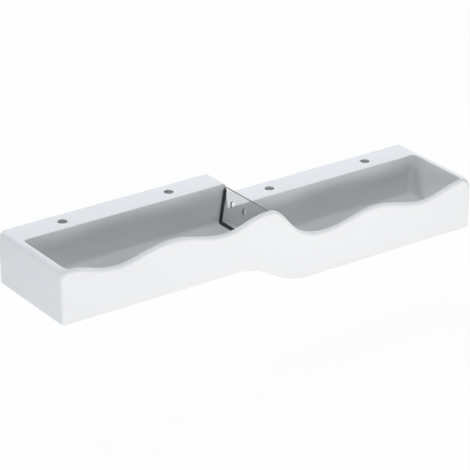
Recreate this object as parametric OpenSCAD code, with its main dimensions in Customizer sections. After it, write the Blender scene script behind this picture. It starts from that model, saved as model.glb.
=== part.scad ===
// Two-level trough sink for small children: an upper and a lower trough behind one
// wave-shaped front, with four tap holes, a lift-out dam between the troughs and a waste
// in the lower one. The body is bonded from cast and flat pieces of mineral material.
//
// Axes: X along the wall, Y into the wall, Z up. The origin is the middle of the line of
// wall fixings, on the wall itself, so the sink hangs at negative Y.

/* [Overall] */
// Length along the wall
length = 1800; // [1700:10:2000]
// Depth from the wall to the front
depth = 415; // [395:5:460]
// Height of each trough's body, from rim to skirt
body_h = 200; // [190:5:240]
// How much lower the lower trough's rim lies
rim_drop = 100; // [60:5:110]
// Length of the upper trough, from the left end to the step
upper_len = 885; // [860:5:900]

/* [Rims] */
// Thickness of the wave front
front_t = 18; // [18:1:26]
// Width of the rim on the two end walls
end_rim_w = 30; // [28:1:40]
// Depth of the tap decks, from the wall to the trough
deck_w = 112; // [100:1:130]
// Thickness of the decks and of the band along the end walls
band_t = 20; // [16:1:30]
// Round on the outer top edge of the end walls
end_edge_r = 25; // [10:1:26]
// Round on the outer top edge of the front
front_edge_r = 15; // [8:0.5:15]
// Round on the upright front corners
corner_r = 15; // [8:1:16]
// Round on the edge from the rims into the troughs
inner_edge_r = 3; // [1.5:0.5:3]
// Round on the lower edge of the skirt
skirt_edge_r = 4; // [2:0.5:6]
// Round on the step's floor edge and on the end of the upper deck
step_edge_r = 10; // [4:0.5:11]

/* [Troughs] */
// Depth of the upper trough under its rim
upper_depth = 138; // [125:1:145]
// Depth of the lower trough under its rim
lower_depth = 144; // [130:1:150]
// Lean of the back wall from upright
back_lean = 10; // [4:0.5:14]
// Lean of the end walls from upright
end_lean = 17; // [8:0.5:20]
// Cove between the walls and the floor
cove_r = 15; // [14:0.5:20]
// Wall thickness of the trays
tray_t = 12; // [10:0.5:14]
// Thickness of the end skins and of the step panel
skin_t = 12; // [10:0.5:14]
// Thickness of the panels against the wall
back_t = 15; // [14:0.5:20]

/* [Wave] */
// Depth of each dip of the front under its crests
wave_dip = 38; // [20:1:44]
// Distance of the last upper crest before the middle of the sink
crest_back = 35; // [20:1:50]
// Length of the sweep of the skirt from the upper to the lower level
sweep_len = 350; // [280:5:380]
// Distance of the sweep's middle before the step
sweep_back = 2; // [0:1:12]

/* [Taps] */
// Distance between tap holes
tap_pitch = 450; // [430:5:470]
// Diameter of a tap hole
tap_d = 35; // [32:0.5:36]
// Distance of the tap holes from the wall
tap_from_wall = 55; // [48:1:62]
// Chamfer round a tap hole
tap_chamfer = 1.2; // [0.6:0.1:2]

/* [Dam] */
// Thickness of the clear pane
pane_t = 6; // [5:0.5:8]
// Lean of the pane from upright
pane_lean = 17.5; // [10:0.5:20]
// Distance from the pane's foot to the step edge
pane_back = 43; // [36:1:60]
// Distance of the pane's top under the upper rim
pane_low = 10; // [5:1:20]
// Round on the pane's top corners
pane_corner_r = 5; // [2:0.5:10]
// Diameter of the overflow holes in the pane
overflow_d = 25; // [16:0.5:30]
// Distance between the overflow holes
overflow_pitch = 75; // [60:1:80]
// Height of the overflow holes over the upper floor
overflow_h = 84; // [70:1:95]
// Width of the rubber seal across the pane
seal_w = 10; // [9.5:0.5:14]
// How far the seal stands out from the trough's wall
seal_h = 7; // [6:0.5:10]
// Depth of the pane's edge in the seal's groove
groove_depth = 5; // [3:0.5:5]
// Distance of the seal's ends under the upper rim
seal_low = 20; // [14:1:30]

/* [Waste] */
// Distance of the waste from the right end
waste_from_end = 450; // [380:5:520]
// Diameter of the waste hole in the floor
waste_hole_d = 46; // [45:0.5:48]
// Diameter of the rosette
rosette_d = 70; // [66:0.5:76]
// Outer diameter of the tail, for a G 1 1/4 thread
tail_d = 41.9; // [38:0.1:42]
// Bore of the tail
tail_bore_d = 35; // [32:0.5:36]
// Length of the tail under the rim that clamps the waste
tail_len = 36; // [30:0.5:40]

/* [Fixings] */
// Distance of the line of wall fixings under the upper rim
fixing_drop = 150; // [140:1:155]
// Distance of the outer wall fixings from the ends
fixing_from_end = 150; // [100:5:200]
// Distance of the inner wall fixings from the middle
fixing_from_mid = 250; // [200:5:300]
// Diameter of the fixing holes
fixing_d = 11; // [9:0.5:13]
// Length of a fixing plate along the wall
plate_w = 90; // [80:1:110]
// Height of a fixing plate
plate_h = 50; // [40:1:54]
// Thickness of a fixing plate
plate_t = 5; // [4:0.5:8]

/* [Hidden] */

// Overrun of cuts past the faces that they open
over = 1;
// Free play between pieces that are put together by hand
play = 0.3;
// Thickness of the thin rings that the rolled rim is hulled from
ring_t = 0.01;
// Steps round a quarter of a rolled edge, and round a whole ball or bore
roll_steps = 3;
ball_fn = 24;
round_fn = 64;
// Steps round the quarter of the front's wide top round
front_roll_steps = 8;

// Planes of the body
x_left = -length / 2;
x_right = length / 2;
x_step = x_left + upper_len;
y_front = -depth;
y_inner = y_front + front_t;
y_deck = -deck_w;
z_hi = fixing_drop;
z_lo = z_hi - rim_drop;
z_hi_skirt = z_hi - body_h;
z_lo_skirt = z_lo - body_h;
z_hi_floor = z_hi - upper_depth;
z_lo_floor = z_lo - lower_depth;

// Reach of the rounded corner of a trough, at the underside of the rim band
corner_reach = cove_r / cos(end_lean) + cove_r + band_t * tan(end_lean);

mineral = [0.96, 0.96, 0.95];
clear = [0.82, 0.90, 0.90, 0.35];
dark_rubber = [0.16, 0.16, 0.17];
bright_metal = [0.78, 0.79, 0.80];
zinc = [0.66, 0.67, 0.68];

// Places of the taps along the wall, from the left
tap_count = 4;
function tap_x(i) = (i - (tap_count - 1) / 2) * tap_pitch;
function mid(a, b) = (a + b) / 2;

// Small tools

// A ball whose poles and equator lie exactly on its radius
module ball(r) {
    rotate_extrude($fn = ball_fn)
        polygon([for (a = [-90 : 360 / ball_fn : 90]) [r * cos(a), r * sin(a)]]);
}

// A block between two opposite corners
module block(low, high) {
    translate(low) cube(high - low);
}

// What is cut from a square edge along X to round it: the solid lies at +Y and -Z
module edge_cut(len, r) {
    rotate([90, 0, 90]) linear_extrude(len) difference() {
        translate([-over, -r]) square([r + over, r + over]);
        translate([r, -r]) circle(r, $fn = round_fn);
    }
}

// Inner form of a trough: four walls, of which the back and both ends can lean, set in
// from the trough's own faces by inset, with rounded corners, from floor up to top
module trough_form(x_a, lean_a, x_b, lean_b, floor_z, rim_z, top_z, inset, r_low, r_top) {
    hull()
        for (level = [[floor_z + inset + r_low, r_low], [top_z, r_top]]) {
            z = level[0];
            r = level[1];
            out = inset + r;
            xs = [
                x_a + (rim_z - z) * tan(lean_a) + out / cos(lean_a),
                x_b - (rim_z - z) * tan(lean_b) - out / cos(lean_b)
            ];
            ys = [
                y_inner + out,
                y_deck - (rim_z - z) * tan(back_lean) - out / cos(back_lean)
            ];
            for (x = xs, y = ys) translate([x, y, z]) ball(r);
        }
}

// How far a rolled edge stands out from the top of its wall, where it has turned by an
// angle: it follows the lean of the wall first and then the round
function roll_out(a, lean) = a < lean
    ? -inner_edge_r * (1 - sin(a)) * tan(lean)
    : inner_edge_r * (1 / cos(lean) - tan(lean) - cos(a));

// Rolled edge where a trough's walls turn into the rims
module rim_roll(x_a, lean_a, x_b, lean_b, rim_z) {
    for (i = [0 : roll_steps - 1])
        hull()
            for (a = [90 * i / roll_steps, 90 * (i + 1) / roll_steps]) {
                r = cove_r + roll_out(a, 0);
                xs = [x_a - roll_out(a, lean_a) + r, x_b + roll_out(a, lean_b) - r];
                ys = [y_inner + cove_r, y_deck + roll_out(a, back_lean) - r];
                for (x = xs, y = ys)
                    translate([x, y, rim_z - inner_edge_r * (1 - sin(a))])
                        cylinder(r = r, h = ring_t, $fn = ball_fn);
            }
}

// The upper trough is open past the step, where only the dam closes it
x_open = x_step + 2 * cove_r + tray_t;

module upper_form(inset, top_z, r_top) {
    trough_form(x_left + end_rim_w, end_lean, x_open, 0, z_hi_floor, z_hi,
        top_z, inset, cove_r - inset, r_top);
}

module lower_form(inset, top_z, r_top) {
    trough_form(x_step, 0, x_right - end_rim_w, end_lean, z_lo_floor, z_lo,
        top_z, inset, cove_r - inset, r_top);
}

// Space of each trough, as it is cut from the rims round it
module upper_space() {
    upper_form(0, z_hi + cove_r, cove_r);
    rim_roll(x_left + end_rim_w, end_lean, x_open, 0, z_hi);
}

module lower_space() {
    lower_form(0, z_lo + cove_r, cove_r);
    rim_roll(x_step, 0, x_right - end_rim_w, end_lean, z_lo);
}

// Wave front

// The front dips before each tap and crests between them. Its last upper crest lies a
// little before the middle, and from there it falls to the first lower dip.
dip_steps = 12;
fall_steps = 24;
wave_handle_share = 0.364;
fall_start_share = 0.39;
fall_end_share = 0.70;

wave_keys = [
    [x_left + end_rim_w, z_hi],
    [tap_x(0), z_hi - wave_dip],
    [mid(tap_x(0), tap_x(1)), z_hi],
    [tap_x(1), z_hi - wave_dip],
    [-crest_back, z_hi],
    [tap_x(2), z_lo - wave_dip],
    [mid(tap_x(2), tap_x(3)), z_lo],
    [tap_x(3), z_lo - wave_dip],
    [x_right - end_rim_w, z_lo]
];
fall_key = 4;

// Point and slope of one stretch between two keys, level at both
function stretch_handles(k) = k == fall_key
    ? [fall_start_share, fall_end_share] : [wave_handle_share, wave_handle_share];
function stretch_point(p, q, h, t) = let (
        w = q[0] - p[0],
        xs = [p[0], p[0] + h[0] * w, q[0] - h[1] * w, q[0]],
        s = 1 - t,
        x = s * s * s * xs[0] + 3 * s * s * t * xs[1] + 3 * s * t * t * xs[2] + t * t * t * xs[3],
        z = p[1] + (q[1] - p[1]) * t * t * (3 - 2 * t),
        dx = s * s * (xs[1] - xs[0]) + 2 * s * t * (xs[2] - xs[1]) + t * t * (xs[3] - xs[2]),
        dz = (q[1] - p[1]) * 2 * s * t,
        n = norm([dx, dz])
    ) [x, z, -dz / n, dx / n];

// Stations along the wave: place, height and the edge's normal
wave_line = [
    for (k = [0 : len(wave_keys) - 2])
        let (steps = k == fall_key ? fall_steps : dip_steps)
            for (i = [0 : steps - 1])
                stretch_point(wave_keys[k], wave_keys[k + 1], stretch_handles(k), i / steps),
    [wave_keys[len(wave_keys) - 1][0], wave_keys[len(wave_keys) - 1][1], 0, 1]
];

// Lower edge of the front, which sweeps down from one skirt to the other at the step
function skirt_z(x) = let (
        u = max(0, min(1, (x - x_step + sweep_back + sweep_len / 2) / sweep_len)),
        s = u * u * u * (u * (6 * u - 15) + 10)
    ) z_hi_skirt + (z_lo_skirt - z_hi_skirt) * s;

// Section of the front at one station: skirt edge, face, outer round, inner round
function front_section(st) = let (base = skirt_z(st[0])) [
    [st[0], y_inner, base],
    for (a = [0 : 90 / roll_steps : 90])
        [st[0], y_front + skirt_edge_r * (1 - sin(a)), base + skirt_edge_r * (1 - cos(a))],
    for (i = [0 : front_roll_steps])
        let (a = 90 * i / front_roll_steps, d = front_edge_r * (1 - sin(a)))
            [st[0] - st[2] * d, y_front + front_edge_r * (1 - cos(a)), st[1] - st[3] * d],
    for (i = [1 : roll_steps])
        let (a = 90 * i / roll_steps, d = inner_edge_r * (1 - cos(a)))
            [st[0] - st[2] * d, y_inner - inner_edge_r * (1 - sin(a)), st[1] - st[3] * d]
];

module wave_front() {
    sections = [for (st = wave_line) front_section(st)];
    n = len(sections[0]);
    last = len(sections) - 1;
    color(mineral) polyhedron(
        points = [for (s = sections, p = s) p],
        faces = [
            [for (j = [n - 1 : -1 : 0]) j],
            [for (j = [0 : n - 1]) last * n + j],
            for (i = [0 : last - 1], j = [0 : n - 1]) let (k = (j + 1) % n)
                each [
                    [i * n + j, i * n + k, (i + 1) * n + j],
                    [i * n + k, (i + 1) * n + k, (i + 1) * n + j]
                ]
        ]
    );
}

// End walls: an outer skin under a thick rim band, with the upright front corner. Both
// are drawn as the left end, with its rim at height zero, and the right one is mirrored.

// Rods that the rounded outside of an end wall is hulled from, on a corner's round
module rod_x(x_a, x_b, z, r, fn) {
    translate([x_a, y_front + r, z]) rotate([0, 90, 0]) cylinder(r = r, h = x_b - x_a, $fn = fn);
}

module rod_y(y_a, y_b, z, r, fn) {
    translate([x_left + r, y_b, z]) rotate([90, 0, 0]) cylinder(r = r, h = y_b - y_a, $fn = fn);
}

// Outside of an end wall: the wide round along its top meets the front's in a ball, and
// the upright corner and the lower edges have rounds of their own
module end_outside() {
    x_out = x_left + end_rim_w + over;
    hull() {
        translate([x_left + end_edge_r, y_front + end_edge_r, -end_edge_r]) ball(end_edge_r);
        rod_y(y_front + end_edge_r, over, -end_edge_r, end_edge_r, ball_fn);
        rod_x(x_left + end_edge_r, x_out, -front_edge_r, front_edge_r, 4 * front_roll_steps);
        block([x_left + end_edge_r, y_front + front_edge_r, -end_edge_r], [x_out, over, 0]);
        for (a = [0 : 90 / roll_steps : 90])
            translate([x_left + corner_r, y_front + corner_r,
                       -body_h + skirt_edge_r * (1 - cos(a))])
                cylinder(r = corner_r - skirt_edge_r * (1 - sin(a)), h = ring_t, $fn = ball_fn);
        translate([x_left + corner_r, y_front + corner_r, -end_edge_r])
            cylinder(r = corner_r, h = ring_t, $fn = ball_fn);
        rod_x(x_left + corner_r, x_out, -body_h + skirt_edge_r, skirt_edge_r, 4 * roll_steps);
        rod_y(y_front + corner_r, over, -body_h + skirt_edge_r, skirt_edge_r, 4 * roll_steps);
    }
}

module end_wall() {
    difference() {
        union() {
            intersection() {
                end_outside();
                block([x_left, y_front, -body_h], [x_left + end_rim_w, 0, 0]);
            }
            block([x_left + end_rim_w, y_inner, -band_t],
                [x_left + end_rim_w + corner_reach, y_deck - corner_reach, 0]);
        }
        // Hollow behind the skin, under the band
        block([x_left + skin_t, y_inner, -body_h - over], [x_left + end_rim_w + over, over, -band_t]);
    }
}

module left_end() {
    color(mineral) difference() {
        translate([0, 0, z_hi]) end_wall();
        upper_space();
    }
}

module right_end() {
    color(mineral) difference() {
        mirror([1, 0, 0]) translate([0, 0, z_lo]) end_wall();
        lower_space();
    }
}

// Tap decks
module tap_hole(x, rim_z) {
    translate([x, -tap_from_wall, rim_z - band_t - over])
        cylinder(d = tap_d, h = band_t + 2 * over, $fn = round_fn);
    translate([x, -tap_from_wall, rim_z - tap_chamfer])
        cylinder(d1 = tap_d, d2 = tap_d + 2 * (tap_chamfer + over), h = tap_chamfer + over,
            $fn = round_fn);
}

module deck(x_a, x_b, rim_z) {
    block([x_a, y_deck - corner_reach, rim_z - band_t], [x_b, 0, rim_z]);
}

module upper_deck() {
    color(mineral) difference() {
        deck(x_left + end_rim_w, x_step, z_hi);
        upper_space();
        for (i = [0, 1]) tap_hole(tap_x(i), z_hi);
        translate([x_step, -depth, z_hi]) rotate([0, 0, 90]) edge_cut(depth + over, step_edge_r);
    }
}

module lower_deck() {
    color(mineral) difference() {
        deck(x_step, x_right - end_rim_w, z_lo);
        lower_space();
        for (i = [2, 3]) tap_hole(tap_x(i), z_lo);
    }
}

// Trays: floor, back wall and end wall of each trough, coved together. They are bonded to
// the back of the wave front, which is their front wall, and under the rim bands.
module upper_tray() {
    color(mineral) difference() {
        upper_form(-tray_t, z_hi + cove_r, cove_r + tray_t);
        upper_form(0, z_hi + cove_r, cove_r);
        block([x_left, y_front, z_hi_skirt], [x_open + depth, y_inner, z_hi + depth]);
        block([x_left, y_front, z_hi - band_t], [x_open + depth, 0, z_hi + depth]);
        block([x_step, y_front, z_hi_skirt], [x_open + depth, 0, z_hi + depth]);
        translate([x_step, y_front, z_hi_floor]) rotate([0, 0, 90]) edge_cut(depth, step_edge_r);
    }
}

// Recess and hole for the waste in the lower floor
recess_h = 4;
recess_play = 2;
waste_x = x_right - waste_from_end;
waste_y = mid(y_inner, y_deck - lower_depth * tan(back_lean));

module lower_tray() {
    color(mineral) difference() {
        lower_form(-tray_t, z_lo + cove_r, cove_r + tray_t);
        lower_form(0, z_lo + cove_r, cove_r);
        block([x_step - depth, y_front, z_lo_skirt], [x_right, y_inner, z_lo + depth]);
        block([x_step - depth, y_front, z_lo - band_t], [x_right, 0, z_lo + depth]);
        block([x_step - depth, y_front, z_lo_skirt], [x_step, 0, z_lo + depth]);
        translate([waste_x, waste_y, z_lo_floor - recess_h])
            cylinder(d = rosette_d + 2 * recess_play, h = recess_h + over, $fn = round_fn);
        translate([waste_x, waste_y, z_lo_floor - tray_t - over])
            cylinder(d = waste_hole_d, h = tray_t + 2 * over, $fn = round_fn);
    }
}

// Step panel: the riser between the floors, which also closes the end of the upper body
// over the lower deck
module step_panel() {
    color(mineral) difference() {
        block([x_step - skin_t, y_inner, z_lo_floor - tray_t], [x_step, 0, z_hi - band_t]);
        upper_form(-tray_t, z_hi + cove_r, cove_r + tray_t);
        // Outer round of the lower tray, which keeps both above the sweep of the skirt
        translate([x_step - skin_t, over, z_lo_floor - tray_t]) rotate([0, 0, -90])
            mirror([0, 0, 1]) edge_cut(depth + 2 * over, cove_r + tray_t);
    }
}

// Panels against the wall, with the fixing holes and the pilot holes of the plates
fixing_xs = [
    x_left + fixing_from_end, -fixing_from_mid, fixing_from_mid, x_right - fixing_from_end
];
plate_screw_in = 13;
plate_screw_x = plate_w / 2 - plate_screw_in;
slot_share = 0.2;
screw_d = 4.5;
screw_head_d = 9;
screw_head_h = 3;
screw_grip = 12;
screw_play = 0.1;

module at_fixings(x_a, x_b) {
    for (x = fixing_xs) if (x > x_a && x < x_b) translate([x, 0, 0]) children();
}

module wall_hole(d, y_a, y_b) {
    translate([0, y_b, 0]) rotate([90, 0, 0]) cylinder(d = d, h = y_b - y_a, $fn = round_fn);
}

module back_panel(x_a, x_b, skirt, rim_z) {
    color(mineral) difference() {
        block([x_a, -back_t, skirt], [x_b, 0, rim_z - band_t]);
        at_fixings(x_a, x_b) {
            wall_hole(fixing_d, -back_t - over, over);
            for (s = [-1, 1]) translate([s * plate_screw_x, 0, 0])
                wall_hole(screw_d + 2 * screw_play, -back_t - over, -back_t + screw_grip + play);
        }
    }
}

module upper_back_panel() {
    back_panel(x_left + skin_t, x_step - skin_t, z_hi_skirt, z_hi);
}

module lower_back_panel() {
    back_panel(x_step, x_right - skin_t, z_lo_skirt, z_lo);
}

// Dam

// The seal and the pane lean in the same plane. Its middle meets the upper floor a set
// distance before the step.
pane_edge_inset = seal_h - groove_depth;
module dam_slab(t) {
    translate([x_step - pane_back, 0, z_hi_floor]) rotate([0, pane_lean, 0])
        block([-t / 2, y_front, -depth], [t / 2, 0, depth]);
}

module pane_form(inset, top_z) {
    upper_form(inset, top_z - pane_corner_r, pane_corner_r);
}

module dam_pane() {
    overflow_y = mid(y_inner, y_deck - (upper_depth - overflow_h) * tan(back_lean));
    color(clear) difference() {
        intersection() {
            dam_slab(pane_t);
            pane_form(pane_edge_inset + play, z_hi - pane_low);
        }
        translate([x_step - pane_back, overflow_y, z_hi_floor]) rotate([0, pane_lean, 0])
            for (i = [-1, 0, 1])
                translate([-pane_t, i * overflow_pitch, overflow_h / cos(pane_lean)])
                    rotate([0, 90, 0]) cylinder(d = overflow_d, h = 2 * pane_t, $fn = round_fn);
    }
}

module dam_seal() {
    color(dark_rubber) difference() {
        intersection() {
            dam_slab(seal_w);
            upper_form(0, z_hi + cove_r, cove_r);
        }
        upper_form(seal_h, z_hi + cove_r, cove_r - seal_h);
        intersection() {
            dam_slab(pane_t + 2 * play);
            upper_form(pane_edge_inset, z_hi + cove_r, cove_r - pane_edge_inset);
        }
        block([x_left, y_front, z_hi - seal_low], [x_open, 0, z_hi + depth]);
    }
}

// Waste, drawn at the waste's axis with the lower floor at height zero
seal_ring_t = 1.5;
rosette_rim_t = 2;
rosette_wall = 1.6;
grid_drop = 4;
grid_t = 2;
grid_counts = [7, 13];
grid_ring_rs = [10.5, 16];
grid_hole_d = 4.4;
seal_in = 1;
collar_play = 1;
body_seal_t = 2;
body_rim_t = 4;
body_rim_d = 64;
arm_count = 3;
bridge_h = 8;
bridge_w = 5;
arm_h = 6;
bridge_drop = 10;
boss_d = 13;
boss_lip = 1;
waste_screw_d = 6;
waste_screw_head_d = 11;
waste_screw_head_h = 2.6;
rosette_top = -recess_h + seal_ring_t + rosette_rim_t;
grid_top = rosette_top - grid_drop;
body_top = -tray_t - body_seal_t;
bridge_top = body_top - bridge_drop;
tail_end = body_top - body_rim_t - tail_len;
collar_d = waste_hole_d - 2 * collar_play;

module at_waste() {
    translate([waste_x, waste_y, z_lo_floor]) children();
}

module tube(d, bore, z_a, z_b) {
    translate([0, 0, z_a]) difference() {
        cylinder(d = d, h = z_b - z_a, $fn = round_fn);
        translate([0, 0, -over]) cylinder(d = bore, h = z_b - z_a + 2 * over, $fn = round_fn);
    }
}

module waste_rosette() {
    r_in = collar_d / 2 - rosette_wall;
    color(bright_metal) at_waste() difference() {
        rotate_extrude($fn = round_fn) polygon([
            [0, grid_top - grid_t], [r_in, grid_top - grid_t],
            [r_in, -tray_t], [collar_d / 2, -tray_t],
            [collar_d / 2, rosette_top - rosette_rim_t],
            [rosette_d / 2, rosette_top - rosette_rim_t],
            [rosette_d / 2, rosette_top - rosette_rim_t / 2],
            [rosette_d / 2 - rosette_rim_t / 2, rosette_top],
            [collar_d / 2, rosette_top], [r_in, grid_top], [0, grid_top]
        ]);
        translate([0, 0, grid_top - grid_t - over])
            cylinder(d = waste_screw_d + 2 * play, h = grid_t + 2 * over, $fn = round_fn);
        for (k = [0 : len(grid_counts) - 1], i = [0 : grid_counts[k] - 1])
            rotate([0, 0, 360 * i / grid_counts[k]])
                translate([grid_ring_rs[k], 0, grid_top - grid_t - over])
                    cylinder(d = grid_hole_d, h = grid_t + 2 * over, $fn = round_fn);
    }
}

module waste_screw() {
    color(bright_metal) at_waste() difference() {
        union() {
            translate([0, 0, grid_top])
                cylinder(d1 = waste_screw_head_d, d2 = waste_screw_d, h = waste_screw_head_h,
                    $fn = round_fn);
            translate([0, 0, bridge_top - bridge_h])
                cylinder(d = waste_screw_d, h = grid_top - bridge_top + bridge_h, $fn = round_fn);
        }
        // Screwdriver slot
        slot_w = waste_screw_d * slot_share;
        block([-waste_screw_head_d, -slot_w / 2, grid_top + waste_screw_head_h / 2],
            [waste_screw_head_d, slot_w / 2, grid_top + waste_screw_head_h + over]);
    }
}

module rosette_seal() {
    color(dark_rubber) at_waste()
        tube(rosette_d - 2 * seal_in, waste_hole_d, -recess_h, -recess_h + seal_ring_t);
}

module body_seal() {
    color(dark_rubber) at_waste()
        tube(body_rim_d - 2 * seal_in, waste_hole_d, body_top, -tray_t);
}

module waste_body() {
    color(bright_metal) at_waste() difference() {
        union() {
            rotate_extrude($fn = round_fn) polygon([
                [tail_bore_d / 2, tail_end], [tail_d / 2, tail_end],
                [tail_d / 2, body_top - body_rim_t], [body_rim_d / 2, body_top - body_rim_t],
                [body_rim_d / 2, body_top], [tail_bore_d / 2, body_top]
            ]);
            for (i = [0 : arm_count - 1]) rotate([0, 0, 180 * (2 * i + 1) / arm_count])
                block([mid(waste_screw_d, boss_d) / 2, -bridge_w / 2, bridge_top - arm_h],
                    [mid(tail_d, tail_bore_d) / 2, bridge_w / 2, bridge_top]);
            translate([0, 0, bridge_top - bridge_h])
                cylinder(d = boss_d, h = bridge_h + boss_lip, $fn = round_fn);
        }
        translate([0, 0, bridge_top - bridge_h - over])
            cylinder(d = waste_screw_d + 2 * screw_play, h = bridge_h + boss_lip + 2 * over,
                $fn = round_fn);
    }
}

// Steel plates that spread the load of the wall fixings, and their screws
plate_corner_r = 6;

module fixing_plates() {
    color(zinc) at_fixings(x_left, x_right)
        rotate([90, 0, 0]) translate([0, 0, back_t]) linear_extrude(plate_t) difference() {
            hull() for (x = [-1, 1], z = [-1, 1])
                translate([x * (plate_w / 2 - plate_corner_r), z * (plate_h / 2 - plate_corner_r)])
                    circle(plate_corner_r, $fn = ball_fn);
            circle(d = fixing_d, $fn = round_fn);
            for (s = [-1, 1]) translate([s * plate_screw_x, 0])
                circle(d = screw_d + 2 * play, $fn = round_fn);
        }
}

module plate_screws() {
    color(zinc) at_fixings(x_left, x_right) for (s = [-1, 1])
        translate([s * plate_screw_x, -back_t - plate_t, 0]) rotate([90, 0, 0]) difference() {
            union() {
                cylinder(d1 = screw_head_d, d2 = screw_d, h = screw_head_h, $fn = round_fn);
                translate([0, 0, -plate_t - screw_grip])
                    cylinder(d = screw_d, h = plate_t + screw_grip, $fn = round_fn);
            }
            slot_w = screw_d * slot_share;
            block([-screw_head_d, -slot_w / 2, screw_head_h / 2],
                [screw_head_d, slot_w / 2, screw_head_h + over]);
        }
}

wave_front();
left_end();
right_end();
upper_deck();
lower_deck();
upper_tray();
lower_tray();
step_panel();
upper_back_panel();
lower_back_panel();
dam_pane();
dam_seal();
waste_rosette();
waste_screw();
rosette_seal();
waste_body();
body_seal();
fixing_plates();
plate_screws();
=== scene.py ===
"""Looks of a two-level trough sink for small children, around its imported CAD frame.

Everything is in metres in the frame of the part: X along the wall towards the lower
trough, Y into the wall, Z up, with the wall itself at Y = 0. Each piece has an operator
of its own, and the sizes and colours that a user would change are properties.
"""

import math

import bmesh
import bpy
from bpy.props import FloatProperty, FloatVectorProperty, IntProperty, PointerProperty
from mathutils import Matrix, Vector


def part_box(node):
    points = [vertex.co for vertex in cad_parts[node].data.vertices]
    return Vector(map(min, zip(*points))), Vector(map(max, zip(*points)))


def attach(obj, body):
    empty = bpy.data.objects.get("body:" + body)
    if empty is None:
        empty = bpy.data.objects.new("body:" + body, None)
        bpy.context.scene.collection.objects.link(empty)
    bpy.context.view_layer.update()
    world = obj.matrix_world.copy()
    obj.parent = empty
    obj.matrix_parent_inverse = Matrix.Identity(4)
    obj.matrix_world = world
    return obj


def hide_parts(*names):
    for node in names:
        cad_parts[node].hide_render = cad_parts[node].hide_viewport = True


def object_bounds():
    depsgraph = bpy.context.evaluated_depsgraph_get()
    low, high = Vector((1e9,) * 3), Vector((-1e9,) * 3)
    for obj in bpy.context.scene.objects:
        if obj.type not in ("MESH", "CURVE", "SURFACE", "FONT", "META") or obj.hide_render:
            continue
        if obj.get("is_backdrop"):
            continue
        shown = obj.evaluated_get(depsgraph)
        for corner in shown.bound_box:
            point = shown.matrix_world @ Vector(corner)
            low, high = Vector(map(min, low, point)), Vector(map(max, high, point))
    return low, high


bl_info = {
    "name": "Trough Sink Pieces",
    "version": (1, 0, 0),
    "blender": (4, 5, 0),
    "location": "3D Viewport > Sidebar > Trough Sink",
    "description": "Builds the visible pieces of a two-level trough sink and its stage",
    "category": "Object",
}

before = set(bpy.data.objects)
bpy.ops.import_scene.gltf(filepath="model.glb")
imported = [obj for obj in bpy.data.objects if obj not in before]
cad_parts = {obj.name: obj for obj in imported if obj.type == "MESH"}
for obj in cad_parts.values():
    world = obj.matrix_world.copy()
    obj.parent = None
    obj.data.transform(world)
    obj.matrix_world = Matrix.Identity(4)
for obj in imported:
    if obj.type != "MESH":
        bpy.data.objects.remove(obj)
cad_low, cad_high = (Vector(corner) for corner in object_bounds())
front_low, front_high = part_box("wave_front")


# Nodes

# Sockets of the colour form of a Mix node
MIX_SHARE, MIX_FIRST, MIX_SECOND, MIX_COLOUR = 0, 6, 7, 2


class Value:
    """A socket in a node tree, on which Python's arithmetic adds Math nodes."""

    def __init__(self, net, socket):
        self.net = net
        self.socket = socket

    def math(self, operation, *values):
        return self.net.add("ShaderNodeMath", {"operation": operation},
                            dict(enumerate((self, *values))))

    def __add__(self, other):
        return self.math("ADD", other)

    __radd__ = __add__

    def __sub__(self, other):
        return self.math("SUBTRACT", other)

    def __rsub__(self, other):
        return self.net.constant(other).math("SUBTRACT", self)

    def __mul__(self, other):
        return self.math("MULTIPLY", other)

    __rmul__ = __mul__

    def __truediv__(self, other):
        return self.math("DIVIDE", other)

    def __rtruediv__(self, other):
        return self.net.constant(other).math("DIVIDE", self)

    def __neg__(self):
        return self * -1.0

    def sine(self):
        return self.math("SINE")

    def cosine(self):
        return self.math("COSINE")

    def unit(self):
        """The value held between 0 and 1."""
        return self.math("MAXIMUM", 0.0).math("MINIMUM", 1.0)

    def above(self, limit):
        """1 where the value is above the limit, and 0 elsewhere."""
        return self.math("GREATER_THAN", limit)


class Net:
    """Adds nodes to a material, a world or a Geometry Nodes tree."""

    def __init__(self, tree):
        self.tree = tree

    def add(self, kind, settings=None, inputs=None, output=0):
        """Adds a node, its settings first and then its sockets' values or links.

        Gives one of the node's outputs, by name or number, if it has any.
        """
        node = self.tree.nodes.new(kind)
        for name, setting in (settings or {}).items():
            setattr(node, name, setting)
        for name, value in (inputs or {}).items():
            self.feed(node.inputs[name], value)
        return Value(self, node.outputs[output]) if node.outputs else None

    def feed(self, socket, value):
        """Links a value to a socket, or sets the socket to a plain number or colour."""
        if isinstance(value, Value):
            self.tree.links.new(value.socket, socket)
        else:
            socket.default_value = value

    def constant(self, number):
        """A number as a socket, for arithmetic that starts with it."""
        value = self.add("ShaderNodeValue")
        value.socket.default_value = number
        return value

    def other(self, value, output):
        """Another output of the node that a value comes from."""
        return Value(self, value.socket.node.outputs[output])


def opaque(colour, factor=1.0):
    """A colour property as a node's four numbers, made darker or lighter by a factor."""
    return tuple(min(1.0, channel * factor) for channel in colour) + (1.0,)


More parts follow.
